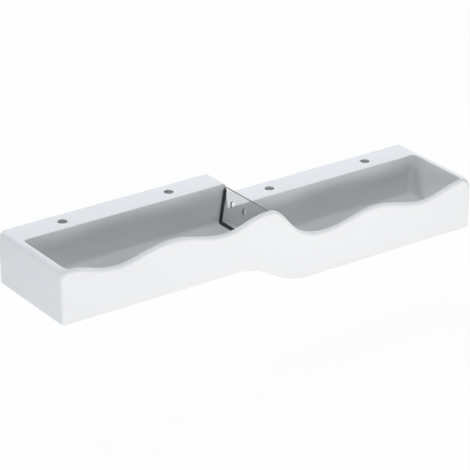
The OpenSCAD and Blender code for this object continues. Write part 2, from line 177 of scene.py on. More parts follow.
class ShaderNet(Net):
    """The nodes of a material or of the world."""

    def noise(self, scale, detail=3.0):
        """Noise on the piece's own coordinates, in waves per metre."""
        place = self.add("ShaderNodeTexCoord", output="Object")
        return self.add("ShaderNodeTexNoise", None,
                        {"Vector": place, "Scale": scale, "Detail": detail})

    def cells(self, scale):
        """Distance to the nearest of random points on the piece's own coordinates."""
        place = self.add("ShaderNodeTexCoord", output="Object")
        return self.add("ShaderNodeTexVoronoi", None,
                        {"Vector": place, "Scale": scale}, "Distance")

    def mixed(self, share, first, second):
        """A colour between two others."""
        return self.add("ShaderNodeMix", {"data_type": "RGBA"},
                        {MIX_SHARE: share, MIX_FIRST: first, MIX_SECOND: second}, MIX_COLOUR)

    def shaded(self, tone, pattern, low, high):
        """A tone whose brightness follows a pattern, from a low factor to a high one."""
        return self.mixed(pattern, opaque(tone, low), opaque(tone, high))

    def bumped(self, height, distance):
        """A normal from a height between 0 and 1, which stands for a distance in metres."""
        return self.add("ShaderNodeBump", None, {"Height": height, "Distance": distance})

    def seen(self):
        """1 for what the camera sees, also in mirrors and through clear pieces, else 0."""
        path = self.add("ShaderNodeLightPath", output="Is Camera Ray")
        return (path + self.other(path, "Is Glossy Ray")
                + self.other(path, "Is Transmission Ray")).unit()


# Properties

def metres(name, description, default):
    """A length, which can't be negative."""
    return FloatProperty(name=name, description=description, default=default,
                         min=0.0, unit="LENGTH")


def degrees(name, description, default):
    """An angle, whose default is given in degrees."""
    return FloatProperty(name=name, description=description,
                         default=math.radians(default), subtype="ANGLE")


def number(name, description, default, **settings):
    """A number with any further settings of a property."""
    return FloatProperty(name=name, description=description, default=default, **settings)


def colour_of(name, description, default):
    """A colour, each of whose channels is between 0 and 1."""
    return FloatVectorProperty(name=name, description=description, default=default,
                               subtype="COLOR", min=0.0, max=1.0)


class TroughSinkShape(bpy.types.PropertyGroup):
    """Sizes of the visible pieces."""

    end_rim: metres("End rim", "Width of the rim on the two end walls", 0.030)
    deck_depth: metres("Deck depth", "Depth of the tap decks, from the wall", 0.112)
    band: metres("Band", "Thickness of the decks and of the end walls' bands", 0.020)
    end_round: metres("End round", "Round on the outer top edge of the end walls", 0.025)
    corner_round: metres("Corner round", "Round on the upright front corners", 0.015)
    front_round: metres("Front round", "Round on the outer top edge of the front", 0.015)
    inner_round: metres("Inner round", "Round on the edge from the rims into the troughs", 0.003)
    skirt_round: metres("Skirt round", "Round on the lower edge of the skirt", 0.004)
    step_round: metres("Step round", "Round on the step and on the upper deck's end", 0.010)
    back_lean: degrees("Back lean", "Lean of the back wall from upright", 10.0)
    end_lean: degrees("End lean", "Lean of the end walls from upright", 17.0)
    cove: metres("Cove", "Round between the walls and the floor", 0.015)
    tray: metres("Tray", "Wall thickness of the trays", 0.012)
    skin: metres("Skin", "Thickness of the end walls' skins", 0.012)
    wave_dip: metres("Wave dip", "Depth of each dip of the front under its crests", 0.038)
    crest_back: metres("Crest back", "Distance of the last upper crest before the middle", 0.035)
    tap_pitch: metres("Tap pitch", "Distance between tap holes", 0.45)
    tap_hole: metres("Tap hole", "Diameter of a tap hole", 0.035)
    tap_from_wall: metres("Tap from wall", "Distance of the tap holes from the wall", 0.055)
    tap_chamfer: metres("Tap chamfer", "Chamfer round a tap hole", 0.0012)
    sweep_length: metres("Sweep length", "Length of the sweep between the two skirts", 0.35)
    sweep_back: metres("Sweep back", "Distance of the sweep's middle before the step", 0.002)
    pane: metres("Pane", "Thickness of the clear pane", 0.006)
    pane_lean: degrees("Pane lean", "Lean of the pane from upright", 17.5)
    pane_back: metres("Pane back", "Distance from the pane's foot to the step", 0.043)
    pane_low: metres("Pane low", "Distance of the pane's top under the rim", 0.010)
    pane_corner: metres("Pane corner", "Round on the pane's top corners", 0.005)
    overflow: metres("Overflow", "Diameter of the overflow holes", 0.025)
    overflow_pitch: metres("Overflow pitch", "Distance between the overflow holes", 0.075)
    overflow_height: metres("Overflow height", "Height of the overflow holes over the floor", 0.084)
    seal_width: metres("Seal width", "Width of the rubber seal across the pane", 0.010)
    seal_height: metres("Seal height", "How far the seal stands out from the wall", 0.007)
    groove: metres("Groove", "Depth of the pane's edge in the seal", 0.005)
    seal_low: metres("Seal low", "Distance of the seal's ends under the rim", 0.020)
    play: metres("Play", "Free play of the pane in its seal", 0.0003)
    recess: metres("Recess", "Depth of the recess round the waste", 0.004)
    recess_width: metres("Recess width", "Diameter of the recess round the waste", 0.074)
    waste_hole: metres("Waste hole", "Diameter of the waste hole in the floor", 0.046)
    fixing_pitch: metres("Fixing pitch", "Distance between the fixing plates", 0.5)
    fixing_hole: metres("Fixing hole", "Diameter of a plate's middle hole", 0.011)
    plate_width: metres("Plate width", "Length of a fixing plate along the wall", 0.090)
    plate_corner: metres("Plate corner", "Round on a plate's corners", 0.006)
    plate_bevel: metres("Plate bevel", "Bevel round a plate's face", 0.0005)
    screw_reach: metres("Screw reach", "Distance of a screw from its plate's middle", 0.032)
    screw_hole: metres("Screw hole", "Diameter of a plate's screw holes", 0.0051)
    screw_width: metres("Screw width", "Diameter of a screw", 0.0045)
    screw_head: metres("Screw head", "Diameter of a screw's head", 0.009)
    screw_slot: metres("Screw slot", "Width of the slot in a screw's head", 0.0009)
    stations: IntProperty(name="Stations", description="Sections along the wave front",
                          default=361, min=49)
    round_steps: IntProperty(name="Round steps", description="Steps round a quarter of a ball",
                             default=10, min=3)
    shade_angle: degrees("Shade angle", "Edges flatter than this are shaded smooth", 32.0)


class TroughSinkFinish(bpy.types.PropertyGroup):
    """Colours of the materials."""

    mineral: colour_of("Mineral", "White of the mineral material", (0.80, 0.80, 0.80))
    pane: colour_of("Pane", "Tint of the clear pane", (0.33, 0.345, 0.35))
    # The pane's edge tone is painted shade: a near black that stands in for the dark line that
    # refraction shows at the pane's edges and bores.
    pane_edge_painted_shade: colour_of("Pane edge", "Tone of the pane's cut edges", (0.05, 0.055, 0.058))
    rubber: colour_of("Rubber", "Black of the seals", (0.030, 0.031, 0.034))
    chrome: colour_of("Chrome", "Tone of the waste", (0.78, 0.79, 0.80))
    zinc: colour_of("Zinc", "Tone of the plates and screws", (0.58, 0.60, 0.62))


class TroughSinkStage(bpy.types.PropertyGroup):
    """Camera, lamps and floor."""

    azimuth: degrees("Azimuth", "Camera's turn from looking along +Y", -35.151)
    elevation: degrees("Elevation", "Camera's height as an angle", 24.757)
    lens: number("Lens", "Focal length in millimetres", 189.26)
    distance: metres("Distance", "Camera's distance from its target", 8.990877)
    target_depth: metres("Target depth", "Distance of the camera's target from the wall", 0.215)
    shift_right: number("Right offset", "Camera's offset to the right", -0.036522, unit="LENGTH")
    shift_up: number("Up offset", "Camera's offset upwards", -0.019619, unit="LENGTH")
    floor_drop: metres("Floor drop", "Height of the origin over the floor", 0.50)
    floor_size: metres("Floor size", "Width of the floor", 60.0)
    floor_white: number("Floor white", "Share of plain white in the floor that is seen", 0.96,
                        min=0.0, max=1.0)
    fill: number("Fill", "Light from all round", 0.03)
    overhead: number("Overhead", "Brightness of the panel above", 3.1)
    behind_right: number("Behind right", "Brightness of the low panel behind the right end", 3.7)
    behind: number("Behind", "Brightness of the high panel behind the wall side", 11.0)
    front_height: number("Front height", "Height of the low panels over the origin", -0.13,
                         unit="LENGTH")
    front: number("Front", "Brightness of the low panels in front", 7.6)
    left: number("Left", "Brightness of the low panel at the left", 6.2)


# Meshes

QUARTER = math.pi / 2

# Points closer than this are joined
MERGE_DISTANCE = 1e-6

# How far a cutting shape reaches past what it cuts, and past the whole sink
OVERRUN = 0.004
FAR = 1.0

# Faces that meet at less than this angle are joined, in CAD meshes and in hulls
CAD_FLATNESS = math.radians(0.2)
HULL_FLATNESS = math.radians(0.05)

# Steps in a quarter of a circle
TAP_STEPS = 24
HOLE_STEPS = 16
SCREW_STEPS = 8
PLATE_STEPS = 6


def new_piece(name, data):
    """An object at the origin, whose place is in its mesh."""
    piece = bpy.data.objects.new(name, data)
    bpy.context.scene.collection.objects.link(piece)
    return piece


def mesh_of(work):
    """A mesh with the outward faces of a finished edit mesh."""
    bmesh.ops.recalc_face_normals(work, faces=work.faces)
    mesh = bpy.data.meshes.new("shape")
    work.to_mesh(mesh)
    work.free()
    return mesh


def merged_copy(node):
    """A copy of a CAD node's mesh with its loose triangles joined."""
    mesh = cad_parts[node].data.copy()
    work = bmesh.new()
    work.from_mesh(mesh)
    bmesh.ops.remove_doubles(work, verts=work.verts, dist=MERGE_DISTANCE)
    bmesh.ops.dissolve_limit(work, angle_limit=CAD_FLATNESS, verts=work.verts,
                             edges=work.edges)
    return mesh_of(work)


def round_points(centre, radius, axis, steps):
    """Points on a circle across one of the three axes, with four of them on the others."""
    first, second = ((1, 2), (2, 0), (0, 1))[axis]
    points = []
    for step in range(4 * steps):
        turn = QUARTER * step / steps
        point = Vector(centre)
        point[first] += radius * math.cos(turn)
        point[second] += radius * math.sin(turn)
        points.append(point)
    return points


def ball_points(centre, radius, steps):
    """Points on a ball, with its poles and equator on its full radius."""
    points = []
    for level in range(-steps, steps + 1):
        lift = QUARTER * level / steps
        ring = Vector(centre) + Vector((0, 0, radius * math.sin(lift)))
        points += round_points(ring, radius * math.cos(lift), 2, steps)
    return points


def block_points(low, high):
    """The eight corners of a box."""
    return [Vector((x, y, z)) for x in (low[0], high[0]) for y in (low[1], high[1])
            for z in (low[2], high[2])]


def hull_mesh(points):
    """The shape that is stretched round some points."""
    work = bmesh.new()
    for point in points:
        work.verts.new(point)
    bmesh.ops.remove_doubles(work, verts=work.verts, dist=MERGE_DISTANCE)
    bmesh.ops.convex_hull(work, input=work.verts[:], use_existing_faces=False)
    bmesh.ops.delete(work, geom=[one for one in work.verts if not one.link_faces],
                     context="VERTS")
    bmesh.ops.dissolve_limit(work, angle_limit=HULL_FLATNESS, verts=work.verts,
                             edges=work.edges)
    return mesh_of(work)


def block_mesh(low, high):
    """A box between two of its corners."""
    return hull_mesh(block_points(low, high))


def loft_mesh(rings):
    """A skin from one closed outline to the next, with flat ends."""
    work = bmesh.new()
    rows = [[work.verts.new(point) for point in ring] for ring in rings]
    for lower, upper in zip(rows, rows[1:]):
        for here in range(len(lower)):
            there = (here + 1) % len(lower)
            work.faces.new((lower[here], lower[there], upper[there], upper[here]))
    work.faces.new(rows[0][::-1])
    work.faces.new(rows[-1])
    return mesh_of(work)


def lathe_mesh(x, y, profile, steps):
    """A body turned about an upright axis, from pairs of radius and height."""
    return loft_mesh([round_points((x, y, z), radius, 2, steps) for radius, z in profile])


def worked(base, *steps):
    """A mesh after cuts, unions and intersections, each given as its kind and its tool."""
    holder = new_piece("work", base)
    tools = []
    for kind, tool in steps:
        tools.append(new_piece("tool", tool))
        change = holder.modifiers.new(kind, "BOOLEAN")
        change.operation = kind
        change.solver = "EXACT"
        change.object = tools[-1]
    result = evaluated_mesh(holder)
    for one in tools + [holder]:
        bpy.data.objects.remove(one)
    return result


def evaluated_mesh(holder):
    """The mesh that an object's modifiers make."""
    depsgraph = bpy.context.evaluated_depsgraph_get()
    depsgraph.update()
    return bpy.data.meshes.new_from_object(holder.evaluated_get(depsgraph))


# Materials

def new_material(name):
    """An empty node material, with the net that fills it."""
    material = bpy.data.materials.new(name)
    material.use_nodes = True
    material.node_tree.nodes.clear()
    return material, ShaderNet(material.node_tree)


def surface(net, inputs):
    """A Principled shader on the material's output."""
    shader = net.add("ShaderNodeBsdfPrincipled", None, inputs, "BSDF")
    net.add("ShaderNodeOutputMaterial", None, {"Surface": shader})


def mineral_material():
    """Silky cast mineral white, with a fine grain, faint clouds and faint darker specks."""
    finish = bpy.context.scene.trough_sink_finish
    material, net = new_material("mineral_white")
    clouds = net.noise(scale=5.0, detail=2.0)
    grain = net.noise(scale=900.0, detail=2.0)
    specks = (0.16 - net.cells(scale=1400.0)).above(0.0)
    clouded = net.shaded(finish.mineral, clouds, low=0.985, high=1.015)
    surface(net, {
        "Base Color": net.mixed((grain - 0.5) * 0.08 + specks * 0.03, clouded,
                                opaque(finish.mineral, factor=0.9)),
        "Roughness": 0.42 + (grain - 0.5) * 0.08 + (clouds - 0.5) * 0.06,
        "IOR": 1.5,
        "Normal": net.bumped(grain, distance=0.00003),
    })
    return material


def rubber_material():
    """Matt black rubber with a dusty grain."""
    finish = bpy.context.scene.trough_sink_finish
    material, net = new_material("matt_rubber")
    grain = net.noise(scale=1500.0)
    bloom = net.noise(scale=40.0)
    surface(net, {
        "Base Color": net.shaded(finish.rubber, bloom, low=1.0, high=1.6),
        "Roughness": 0.62 + grain * 0.2,
        "Normal": net.bumped(grain, distance=0.00006),
    })
    return material


def metal_material(name, tone, roughness, spread, scale, depth):
    """Metal whose tone, gloss and surface vary a little."""
    material, net = new_material(name)
    spots = net.noise(scale)
    surface(net, {
        "Base Color": net.shaded(tone, spots, low=0.94, high=1.04),
        "Metallic": 1.0,
        "Roughness": roughness + (spots - 0.5) * spread,
        "Normal": net.bumped(spots, depth),
    })
    return material


def pane_material():
    """Clear acrylic: faint over its faces, and denser at a glancing view."""
    finish = bpy.context.scene.trough_sink_finish
    material, net = new_material("clear_acrylic")
    glance = net.add("ShaderNodeLayerWeight", None, {"Blend": 0.3}, "Facing")
    smears = net.noise(scale=30.0)
    surface(net, {
        "Base Color": net.shaded(finish.pane, smears, low=0.97, high=1.03),
        "Roughness": 0.04 + smears * 0.05,
        "IOR": 1.49,
        "Alpha": 0.10 + glance * 0.12,
    })
    return material


def painted_shade_edge_material(name, within_share):
    """Cut edge of the acrylic, painted with shade for the dark that refraction shows in it: dark
    seen from outside, and so to a share seen from within.
    """
    tone = bpy.context.scene.trough_sink_finish.pane_edge_painted_shade
    material, net = new_material(name)
    grain = net.noise(scale=400.0)
    within = net.add("ShaderNodeNewGeometry", output="Backfacing")
    surface(net, {
        # Painted shade: the near black edges and bores stand in for the darkness that refraction
        # through them shows.
        "Base Color": net.shaded(tone, grain, low=0.9, high=1.1),
        "Roughness": 0.45 + grain * 0.1,
        "IOR": 1.49,
        "Specular IOR Level": 0.2,
        "Alpha": (0.9 + grain * 0.1) * (1.0 - within * (1.0 - within_share)),
    })
    return material


MATERIALS = {}


def material_for(name):
    """A material of this sink, made when it is first asked for."""
    finish = bpy.context.scene.trough_sink_finish
    makers = {
        "mineral": mineral_material,
        "dark_rubber": rubber_material,
        "clear_pane": pane_material,
        # The pane's edges and bores get painted shade, a dark tone for the refraction through them.
        "pane_edge_painted_shade": lambda: painted_shade_edge_material("acrylic_edge_painted_shade", within_share=1.0),
        "pane_bore_painted_shade": lambda: painted_shade_edge_material("acrylic_bore_painted_shade", within_share=0.12),
        "bright_metal": lambda: metal_material(
            "polished_chrome", finish.chrome, roughness=0.09, spread=0.06, scale=300.0,
            depth=0.000005),
        "zinc": lambda: metal_material(
            "zinc_plating", finish.zinc, roughness=0.42, spread=0.2, scale=500.0,
            depth=0.00002),
    }
    if name not in MATERIALS:
        MATERIALS[name] = makers[name]()
    return MATERIALS[name]


# Pieces

def finish_piece(nodes, mesh, finishes, body="sink"):
    """Shades a mesh, gives it its materials and hides the CAD nodes that it stands for.
    """
    name, slot_name = "shown_" + nodes[0], finishes[0]
    if not mesh.polygons:
        raise RuntimeError(name + " has no faces")
    if "custom_normal" in mesh.attributes:
        mesh.attributes.remove(mesh.attributes["custom_normal"])
    mesh.materials.clear()
    for finish in finishes:
        mesh.materials.append(material_for(finish))
    for face in mesh.polygons:
        face.use_smooth = True
    mesh.set_sharp_from_angle(angle=bpy.context.scene.trough_sink_shape.shade_angle)
    piece = new_piece(name, mesh)
    weighted = piece.modifiers.new("Even shading", "WEIGHTED_NORMAL")
    weighted.keep_sharp = True
    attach(piece, body)
    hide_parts(*nodes)
    return piece


def mineral_piece(node, mesh):
    """A finished piece of mineral material."""
    finish_piece([node], mesh, ["mineral"])


def copied_pieces(nodes, finish):
    """Finished pieces with the shapes of their CAD nodes, joined and shaded smooth."""
    for node in nodes:
        finish_piece([node], merged_copy(node), [finish])


class Planes:
    """Planes of the sink, read from the CAD boxes and the sizes of the shape."""

    def __init__(self):
        self.shape = shape = bpy.context.scene.trough_sink_shape
        deck_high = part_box("upper_deck")[1]
        self.left = cad_low.x
        self.right = cad_high.x
        self.front = front_low.y
        self.inner = front_high.y
        self.step = deck_high.x
        self.deck = -shape.deck_depth
        self.rims = {"upper": deck_high.z, "lower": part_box("lower_deck")[1].z}
        self.skirts = {"upper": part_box("left_end")[0].z, "lower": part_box("right_end")[0].z}
        self.floors = {"upper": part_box("upper_tray")[0].z + shape.tray,
                       "lower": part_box("lower_tray")[0].z + shape.tray}
        open_end = self.step + 2 * shape.cove + shape.tray
        self.ends = {
            "upper": ((self.left + shape.end_rim, shape.end_lean), (open_end, 0.0)),
            "lower": ((self.step, 0.0), (self.right - shape.end_rim, shape.end_lean)),
        }
        self.tap_xs = [place * shape.tap_pitch for place in (-1.5, -0.5, 0.5, 1.5)]
        self.corner_reach = (shape.cove / math.cos(shape.end_lean) + shape.cove
                             + shape.band * math.tan(shape.end_lean))

    def form(self, level, inset, low_round, top=None, top_round=None):
        """Inner form of a trough, set in from its faces, up to a height over its rim."""
        shape = self.shape
        rim = self.rims[level]
        (x_a, lean_a), (x_b, lean_b) = self.ends[level]
        points = []
        for height, radius in (
                (self.floors[level] + inset + low_round, low_round),
                (rim + shape.cove if top is None else top,
                 low_round if top_round is None else top_round)):
            out = inset + radius
            xs = (x_a + (rim - height) * math.tan(lean_a) + out / math.cos(lean_a),
                  x_b - (rim - height) * math.tan(lean_b) - out / math.cos(lean_b))
            ys = (self.inner + out, self.deck - (rim - height) * math.tan(shape.back_lean)
                  - out / math.cos(shape.back_lean))
            for x in xs:
                for y in ys:
                    points += ball_points((x, y, height), radius, shape.round_steps)
        return hull_mesh(points)

    def roll(self, level):
        """Rolled edge where a trough's walls turn into the rims."""
        shape = self.shape
        steps = 8
        (x_a, lean_a), (x_b, lean_b) = self.ends[level]

        def out(turn, lean):
            """How far the roll stands out from the wall's line at the rim."""
            if turn < lean:
                return -shape.inner_round * (1 - math.sin(turn)) * math.tan(lean)
            return shape.inner_round * (1 / math.cos(lean) - math.tan(lean) - math.cos(turn))

        def ring(turn, shrink, lift):
            """The roll's outline round the trough at one turn of its quarter."""
            radius = shape.cove + out(turn, 0.0) - shrink
            xs = (x_a - out(turn, lean_a) + radius + shrink,
                  x_b + out(turn, lean_b) - radius - shrink)
            ys = (self.inner + shape.cove,
                  self.deck + out(turn, shape.back_lean) - radius - shrink)
            z = self.rims[level] - shape.inner_round * (1 - math.sin(turn)) + lift
            points = []
            for corner, (x, y) in enumerate(((xs[1], ys[1]), (xs[0], ys[1]),
                                             (xs[0], ys[0]), (xs[1], ys[0]))):
                for step in range(shape.round_steps + 1):
                    angle = QUARTER * (corner + step / shape.round_steps)
                    points.append(Vector((x + radius * math.cos(angle),
                                          y + radius * math.sin(angle), z)))
            return points

        rings = [ring(0.0, shape.inner_round, -OVERRUN)]
        rings += [ring(QUARTER * step / steps, 0.0, 0.0) for step in range(steps + 1)]
        rings.append(ring(QUARTER, 0.0, OVERRUN))
        return loft_mesh(rings)

    def cuts(self, level):
        """The space of a trough as it is cut from the rims round it."""
        return [("DIFFERENCE", self.form(level, 0.0, self.shape.cove)),
                ("DIFFERENCE", self.roll(level))]

    def step_round(self, height):
        """The cut that rounds the edge of the upper level over the step."""
        radius, steps = self.shape.step_round, self.shape.round_steps
        outline = [(self.step + OVERRUN, height + OVERRUN), (self.step + OVERRUN, height - radius)]
        for step in range(steps + 1):
            turn = QUARTER * step / steps
            outline.append((self.step - radius * (1 - math.cos(turn)),
                            height - radius * (1 - math.sin(turn))))
        outline.append((self.step - radius, height + OVERRUN))
        return ("DIFFERENCE", loft_mesh([[Vector((x, y, z)) for x, z in outline]
                                         for y in (self.front - OVERRUN, OVERRUN)]))


def end_wall(planes, level):
    """The rounded end wall of one trough, drawn at the left and mirrored for the lower."""
    shape, steps = planes.shape, planes.shape.round_steps
    rim = planes.rims[level]
    skirt = planes.skirts[level]
    left, front = planes.left, planes.front
    joint = left + shape.end_rim
    wide, top, corner, low = (
        shape.end_round, shape.front_round, shape.corner_round, shape.skirt_round)
    points = ball_points((left + wide, front + wide, rim - wide), wide, steps)
    for y in (front + wide, 0.0):
        points += round_points((left + wide, y, rim - wide), wide, 1, steps)
    for x in (left + wide, joint):
        points += round_points((x, front + top, rim - top), top, 0, steps)
    points += block_points((left + wide, front + top, rim - wide), (joint, 0.0, rim))
    points += round_points((left + corner, front + corner, rim - wide), corner, 2, steps)
    for step in range(steps + 1):
        turn = QUARTER * step / steps
        points += round_points(
            (left + corner, front + corner, skirt + low * (1 - math.cos(turn))),
            corner - low * (1 - math.sin(turn)), 2, steps)
    for x in (left + corner, joint):
        points += round_points((x, front + low, skirt + low), low, 0, steps)
    for y in (front + corner, 0.0):
        points += round_points((left + low, y, skirt + low), low, 1, steps)
    points = [Vector((min(one.x, joint), min(one.y, 0.0), min(one.z, rim))) for one in points]
    band = block_mesh((left + shape.corner_round, planes.inner, rim - shape.band),
                      (joint + planes.corner_reach, planes.deck - planes.corner_reach, rim))
    hollow = block_mesh((left + shape.skin, planes.inner, skirt - OVERRUN),
                        (joint + OVERRUN, OVERRUN, rim - shape.band))
    shell = worked(hull_mesh(points), ("UNION", band), ("DIFFERENCE", hollow))
    if level == "lower":
        shell.transform(Matrix.Scale(-1.0, 4, (1.0, 0.0, 0.0)))
        shell.flip_normals()
    return worked(shell, *planes.cuts(level))


def deck(planes, level, x_a, x_b, tap_xs, cuts):
    """A tap deck with its tap holes, whose upper edge is chamfered and eased."""
    shape, rim = planes.shape, planes.rims[level]
    radius = shape.tap_hole / 2
    ease = shape.tap_chamfer / 4
    slope = shape.tap_chamfer + ease
    # The middle of a quarter round lies about 0.3 of its radius from both of its tangents
    bend = ease * 0.3
    profile = [
        (radius, rim - shape.band - OVERRUN), (radius, rim - slope - ease),
        (radius + bend, rim - slope + bend),
        (radius + shape.tap_chamfer - bend, rim - ease - bend),
        (radius + slope, rim), (radius + slope, rim + OVERRUN),
    ]
    holes = [("DIFFERENCE", lathe_mesh(x, -shape.tap_from_wall, profile, TAP_STEPS))
             for x in tap_xs]
    slab = block_mesh((x_a, planes.deck - planes.corner_reach, rim - shape.band), (x_b, 0.0, rim))
    return worked(slab, *planes.cuts(level), *holes, *cuts)


def tray(planes, level, cuts):
    """Floor, back wall and end wall of one trough, coved together."""
    shape, rim = planes.shape, planes.rims[level]
    low = cad_low - Vector((FAR, FAR, FAR))
    high = -low
    outside = planes.form(level, -shape.tray, shape.cove + shape.tray)
    if level == "upper":
        past_step = block_mesh((planes.step, low.y, low.z), high)
    else:
        past_step = block_mesh(low, (planes.step, high.y, high.z))
    return worked(
        outside, ("DIFFERENCE", planes.form(level, 0.0, shape.cove)),
        ("DIFFERENCE", block_mesh(low, (high.x, planes.inner, high.z))),
        ("DIFFERENCE", block_mesh((low.x, low.y, rim - shape.band), high)),
        ("DIFFERENCE", past_step), *cuts)


def new_tree(name, asked):
    """An empty Geometry Nodes tree: its net, and its inputs by name."""
    tree = bpy.data.node_groups.new(name, "GeometryNodeTree")
    for key, kind in {"Geometry": "NodeSocketGeometry", **asked}.items():
        tree.interface.new_socket(key, in_out="INPUT", socket_type=kind)
    tree.interface.new_socket("Geometry", in_out="OUTPUT", socket_type="NodeSocketGeometry")
    net = Net(tree)
    given = net.add("NodeGroupInput")
    return net, {key: net.other(given, key) for key in asked}


def ended_tree(net, geometry, material):
    """The tree after its last nodes, which make copies real and set the material."""
    real = net.add("GeometryNodeRealizeInstances", None, {"Geometry": geometry})
    painted = net.add("GeometryNodeSetMaterial", None, {"Geometry": real, "Material": material})
    net.add("NodeGroupOutput", None, {"Geometry": painted})
    return net.tree


# Parts of the front's section, each with the rows of points where it starts and ends
UNDER, SKIRT, FACE, OUTER, FLAT, INNER, BACK = (
    (0, 1), (1, 5), (5, 6), (6, 18), (18, 19), (19, 23), (23, 24))
SECTION_ROWS = 25


def front_tree():
    """Geometry Nodes that sweep the front's section along its wave-shaped rim."""
    asked = {"Rim line": "NodeSocketObject", "Stations": "NodeSocketInt",
             "Material": "NodeSocketMaterial"}
    for name in ("Front", "Inner face", "Front round", "Inner round", "Skirt round",
                 "Upper skirt", "Lower skirt", "Sweep start", "Sweep length"):
        asked[name] = "NodeSocketFloat"
    net, value = new_tree("wave_front_shape", asked)

    stations = value["Stations"]
    grid = net.add("GeometryNodeMeshGrid", None, {
        "Size X": 1.0, "Size Y": 1.0, "Vertices X": stations + 2.0, "Vertices Y": SECTION_ROWS})
    index = net.add("GeometryNodeInputIndex")
    # Each column of the grid is one section. A little is added against rounding.
    column = (index / float(SECTION_ROWS) + 0.001).math("FLOOR")
    row = index - column * float(SECTION_ROWS)
    share = ((column - 1.0) / (stations - 1.0)).unit()
    # The first and last columns are drawn together to a point, to close the ends
    closed = (0.5 - column).above(0.0) + (column - stations - 0.5).above(0.0)

    line = net.add("GeometryNodeObjectInfo", {"transform_space": "ORIGINAL"},
                   {"Object": value["Rim line"]}, "Geometry")
    along = net.add("GeometryNodeSampleCurve", {"mode": "FACTOR", "use_all_curves": False},
                    {"Curves": line, "Factor": share}, "Position")
    rim_x = net.add("ShaderNodeSeparateXYZ", None, {"Vector": along}, "X")
    rim_z = net.other(rim_x, "Z")
    slope = net.add("ShaderNodeSeparateXYZ", None, {"Vector": net.other(along, "Tangent")}, "X")
    normal_x, normal_z = -net.other(slope, "Z"), slope

    def passed(part):
        """How far a row has gone through a part of the section, from 0 to 1."""
        start, end = part
        return ((row - float(start)) / float(end - start)).unit()

    thick = value["Inner face"] - value["Front"]
    skirt_turn, outer_turn, inner_turn = (passed(part) * QUARTER for part in (SKIRT, OUTER, INNER))
    back = passed(BACK)
    raised = passed(FACE) - back

    sweep = ((rim_x - value["Sweep start"]) / value["Sweep length"]).unit()
    eased = sweep * sweep * sweep * (sweep * (sweep * 6.0 - 15.0) + 10.0)
    base = value["Upper skirt"] + (value["Lower skirt"] - value["Upper skirt"]) * eased

    drop = (value["Front round"] * (1.0 - outer_turn.sine())
            + value["Inner round"] * (1.0 - inner_turn.cosine()))
    y = (value["Inner face"] - passed(UNDER) * (thick - value["Skirt round"])
         - value["Skirt round"] * skirt_turn.sine()
         + value["Front round"] * (1.0 - outer_turn.cosine())
         + (thick - value["Front round"] - value["Inner round"]) * passed(FLAT)
         + value["Inner round"] * inner_turn.sine())
    low_z = base + value["Skirt round"] * (1.0 - skirt_turn.cosine()) * (1.0 - back)
    x = rim_x - normal_x * drop * raised
    z = low_z + (rim_z - normal_z * drop - low_z) * raised
    y = y + ((value["Inner face"] + value["Front"]) * 0.5 - y) * closed
    z = z + ((rim_z + base) * 0.5 - z) * closed

    moved = net.add("GeometryNodeSetPosition", None, {
        "Geometry": net.other(grid, "Mesh"),
        "Position": net.add("ShaderNodeCombineXYZ", None, {"X": x, "Y": y, "Z": z})})
    joined = net.add("GeometryNodeMergeByDistance", None,
                     {"Geometry": moved, "Distance": MERGE_DISTANCE * 5})
    return ended_tree(net, joined, value["Material"])


def shaped_by_nodes(name, tree, inputs):
    """The mesh that a Geometry Nodes tree makes from named inputs."""
    holder = new_piece(name, bpy.data.meshes.new(name))
    shaping = holder.modifiers.new(name, "NODES")
    shaping.node_group = tree
    sockets = {item.name: item.identifier for item in tree.interface.items_tree
               if item.item_type == "SOCKET" and item.in_out == "INPUT"}
    for key, setting in inputs.items():
        shaping[sockets[key]] = setting
    mesh = evaluated_mesh(holder)
    bpy.data.objects.remove(holder)
    return mesh


# Reach of the rim curve's handles, as shares of the stretch between two keys
WAVE_HANDLE = 0.364
FALL_HANDLES = (0.39, 0.70)

# Reach of the two handles past the ends of the rim
END_HANDLE = 0.01


def rim_line(planes):
    """The wave of the rim as a curve, with a level key at each dip and crest."""
    shape = planes.shape
    high, low, dip = planes.rims["upper"], planes.rims["lower"], shape.wave_dip
    taps = planes.tap_xs
    keys = [
        (planes.left + shape.end_rim, high), (taps[0], high - dip),
        ((taps[0] + taps[1]) / 2, high), (taps[1], high - dip),
        (-shape.crest_back, high), (taps[2], low - dip),
        ((taps[2] + taps[3]) / 2, low), (taps[3], low - dip),
        (planes.right - shape.end_rim, low),
    ]
    wave = (WAVE_HANDLE, WAVE_HANDLE)
    shares = [wave] * 4 + [FALL_HANDLES] + [wave] * 3
    line = bpy.data.curves.new("rim_line", "CURVE")
    line.dimensions = "3D"
    line.resolution_u = 64
    spline = line.splines.new("BEZIER")
    spline.bezier_points.add(len(keys) - 1)
    for index, ((x, z), key) in enumerate(zip(keys, spline.bezier_points)):
        before = after = END_HANDLE
        if index > 0:
            before = shares[index - 1][1] * (x - keys[index - 1][0])
        if index < len(shares):
            after = shares[index][0] * (keys[index + 1][0] - x)
        key.handle_left_type = key.handle_right_type = "FREE"
        key.co = (x, planes.front, z)
        key.handle_left = (x - before, planes.front, z)
        key.handle_right = (x + after, planes.front, z)
    return new_piece("rim_line", line)


class TROUGH_SINK_OT_wave_front(bpy.types.Operator):
    """Build the wave-shaped front"""

    bl_idname = "trough_sink.wave_front"
    bl_label = "Wave Front"

    def execute(self, context):
        planes = Planes()
        shape = planes.shape
        line = rim_line(planes)
        mesh = shaped_by_nodes("wave_front_holder", front_tree(), {
            "Rim line": line, "Stations": shape.stations, "Material": material_for("mineral"),
            "Front": planes.front, "Inner face": planes.inner, "Front round": shape.front_round,
            "Inner round": shape.inner_round, "Skirt round": shape.skirt_round,
            "Upper skirt": planes.skirts["upper"], "Lower skirt": planes.skirts["lower"],
            "Sweep start": planes.step - shape.sweep_back - shape.sweep_length / 2,
            "Sweep length": shape.sweep_length,
        })
        bpy.data.objects.remove(line)
        work = bmesh.new()
        work.from_mesh(mesh)
        mineral_piece("wave_front", mesh_of(work))
        return {"FINISHED"}


